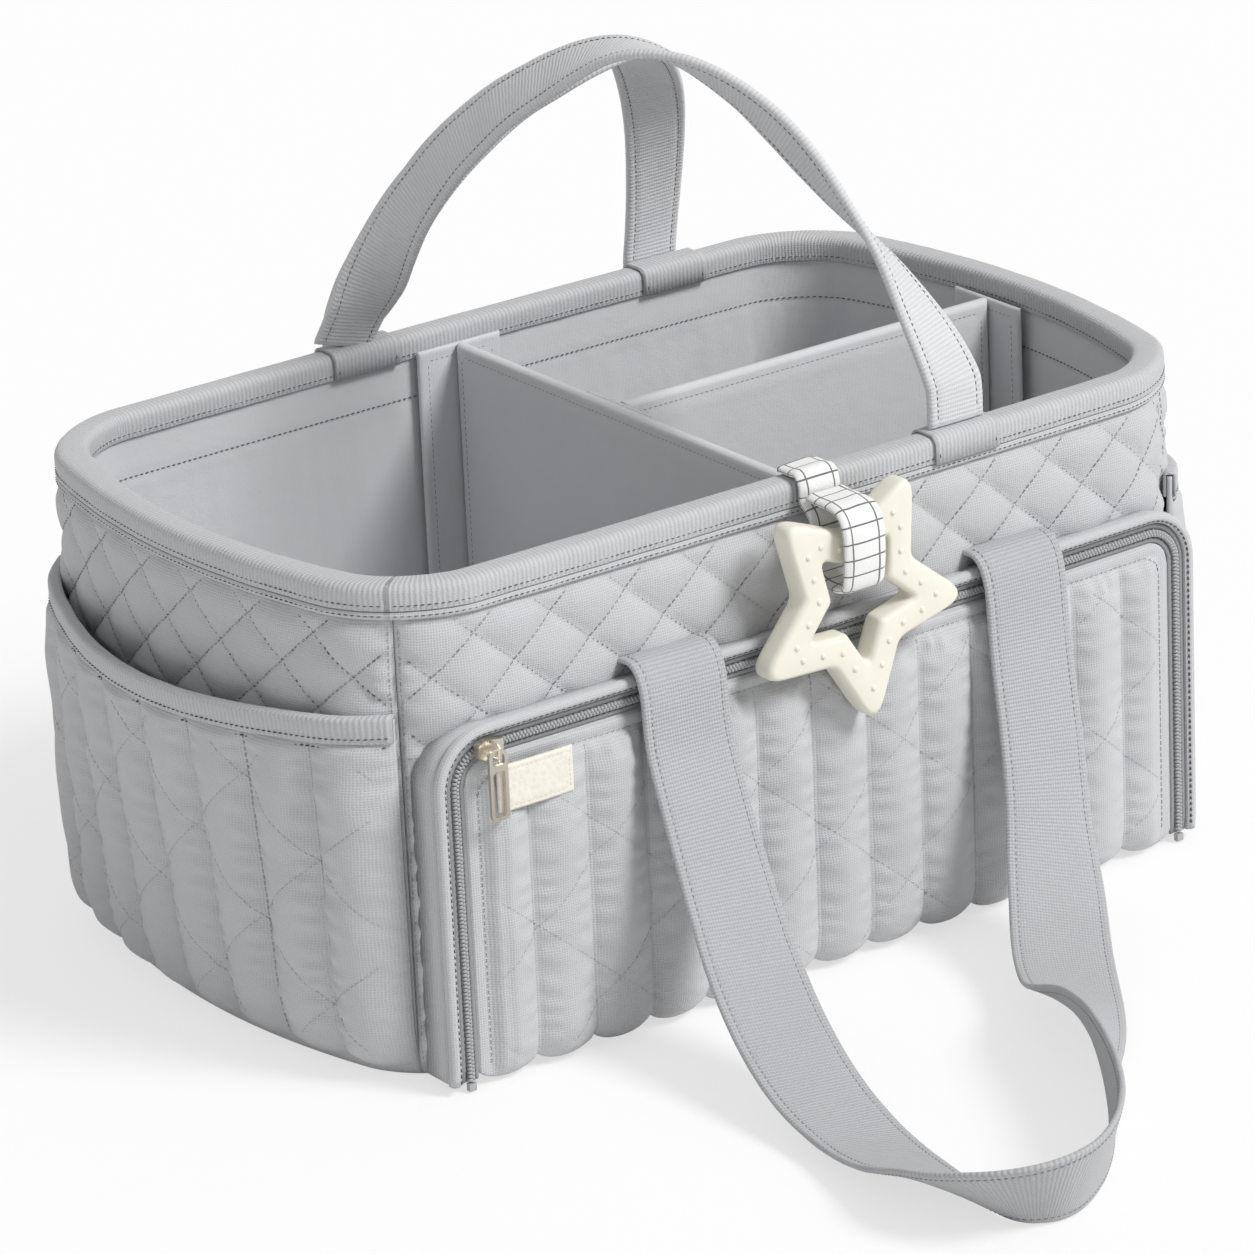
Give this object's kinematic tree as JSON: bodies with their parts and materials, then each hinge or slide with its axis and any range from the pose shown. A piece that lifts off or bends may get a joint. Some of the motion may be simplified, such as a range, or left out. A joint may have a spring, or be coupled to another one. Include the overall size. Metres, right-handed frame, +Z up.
{
  "type": "diaper caddy",
  "caption": "Soft quilted diaper caddy with two stand-up handles, webbing carry loops, outer pockets, lift-out dividers and a hanging star teether.",
  "frame": {"origin": "on the floor under the middle of the box, at the middle of the flat bottom panel", "axes": "+X along the long side of the box to the right as seen from its front, -Y towards the zipped front pocket, +Z up"},
  "size_m": [0.452, 0.702, 0.3362],
  "materials": {
    "cloth": "matte quilted cotton in light cool grey",
    "lining": "matte plain weave in mid grey",
    "binding": "matte ribbed tape in mid grey",
    "handle_strap": "matte padded cotton with stitched edges",
    "webbing": "matte woven cotton webbing",
    "board": "matte stiffening board",
    "zipper_tape": "matte woven tape",
    "zipper_coil": "satin nylon coil",
    "metal": "satin champagne plating",
    "label": "matte cream woven patch",
    "silicone": "satin cream silicone",
    "checked_cloth": "matte white cloth with a thin dark check"
  },
  "bodies": {
    "caddy": {"front_panel": "cloth", "rear_panel": "cloth", "left_panel": "cloth", "right_panel": "cloth", "front_board": "board", "rear_board": "board", "left_board": "board", "right_board": "board", "bottom_panel": "cloth", "base_board": "board", "lining": "lining", "rim_binding": "binding", "rim_trim": "binding", "rear_left_sleeve": "binding", "rear_right_sleeve": "binding", "front_right_sleeve": "binding", "left_pocket": "cloth", "right_pocket": "cloth", "left_pocket_binding": "binding", "right_pocket_binding": "binding", "pocket_gusset": "binding", "pocket_welt": "binding", "zipper_tape_outer": "zipper_tape", "zipper_coil": "zipper_coil", "zipper_tape_inner": "zipper_tape", "zipper_stop_left": "metal", "zipper_stop_right": "metal", "front_pocket_panel": "cloth", "label_patch": "label", "front_lining_strip": "binding", "rear_lining_strip": "binding", "right_lining_strip": "binding", "teether_strap": "checked_cloth"},
    "front_handle": {"front_handle": "handle_strap"},
    "rear_handle": {"rear_handle": "handle_strap"},
    "front_webbing_loop": {"front_webbing_loop": "webbing"},
    "rear_webbing_loop": {"rear_webbing_loop": "webbing"},
    "zipper_runner": {"zipper_runner": "metal", "runner_bail": "metal"},
    "zipper_pull": {"zipper_pull": "metal"},
    "star_teether": {"star_teether": "silicone"},
    "cross_divider": {"cross_divider": "lining", "cross_divider_tab_front": "lining", "cross_divider_tab_rear": "lining"},
    "long_divider": {"long_divider": "lining", "long_divider_tab_left": "lining", "long_divider_tab_right": "lining"}
  },
  "joints": [
    {"name": "front_handle_fold", "type": "hinge", "parent": "caddy", "child": "front_handle", "pos_m": [0.0131, 0.00009, 0.21075], "axis": [0.4455, -0.8953, 0], "range_deg": [0, 55]},
    {"name": "rear_handle_fold", "type": "hinge", "parent": "caddy", "child": "rear_handle", "pos_m": [0.0385, 0.12792, 0.189], "axis": [-1, 0.0043, 0], "range_deg": [0, 100]},
    {"name": "front_webbing_lift", "type": "hinge", "parent": "caddy", "child": "front_webbing_loop", "pos_m": [0.007, -0.1243, 0.1471], "axis": [-1, 0, 0], "range_deg": [0, 110]},
    {"name": "rear_webbing_lift", "type": "hinge", "parent": "caddy", "child": "rear_webbing_loop", "pos_m": [-0.007, 0.1243, 0.1471], "axis": [1, 0, 0], "range_deg": [0, 110]},
    {"name": "zipper_runner_slide", "type": "slide", "parent": "caddy", "child": "zipper_runner", "axis": [0.9999, -0.0155, 0], "range_m": [0, 0.05]},
    {"name": "zipper_pull_swing", "type": "hinge", "parent": "zipper_runner", "child": "zipper_pull", "pos_m": [-0.158, -0.1372, 0.1333], "axis": [-1, 0, 0], "range_deg": [0, 150]},
    {"name": "star_teether_swing", "type": "hinge", "parent": "caddy", "child": "star_teether", "pos_m": [-0.00112, -0.1436, 0.17326], "axis": [-1, 0, 0], "range_deg": [0, 15]},
    {"name": "cross_divider_lift", "type": "slide", "parent": "caddy", "child": "cross_divider", "axis": [0, 0, 1], "range_m": [0, 0.04]},
    {"name": "long_divider_lift", "type": "slide", "parent": "caddy", "child": "long_divider", "axis": [0, 0, 1], "range_m": [0, 0.11]}
  ]
}
